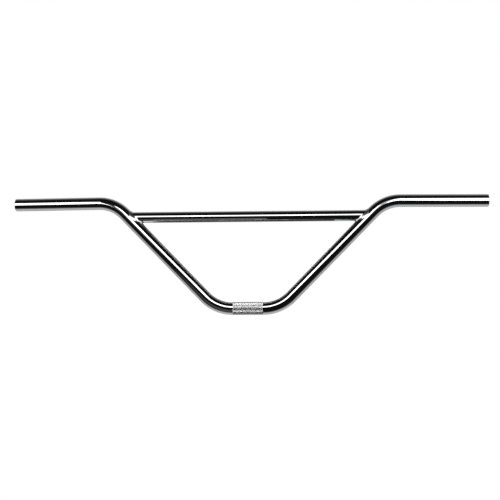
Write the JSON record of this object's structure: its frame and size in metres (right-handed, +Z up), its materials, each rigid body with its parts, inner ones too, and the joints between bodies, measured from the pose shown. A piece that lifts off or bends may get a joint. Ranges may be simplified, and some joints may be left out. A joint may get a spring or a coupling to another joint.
{
  "type": "cruiser handlebar",
  "caption": "Wide high-rise bicycle handlebar of bent chromed tube, braced by a welded crossbar, with swept-back grip ends and a straight centre for the stem clamp.",
  "frame": {"origin": "centre of the straight clamp zone, on the tube's axis", "axes": "+X along the clamp zone, to the right as seen from in front of the bar, +Y back towards the rider, +Z up along the rise; left and right in the names are as seen from in front"},
  "size_m": [0.8382, 0.0478, 0.2127],
  "materials": {
    "chrome_tube": "bright polished chrome plate on steel tube",
    "chrome_weld": "chrome plate over a smoothed weld bead"
  },
  "bodies": {
    "root": {"main_tube": "chrome_tube", "crossbar": "chrome_tube", "left_weld": "chrome_weld", "right_weld": "chrome_weld"}
  },
  "joints": []
}
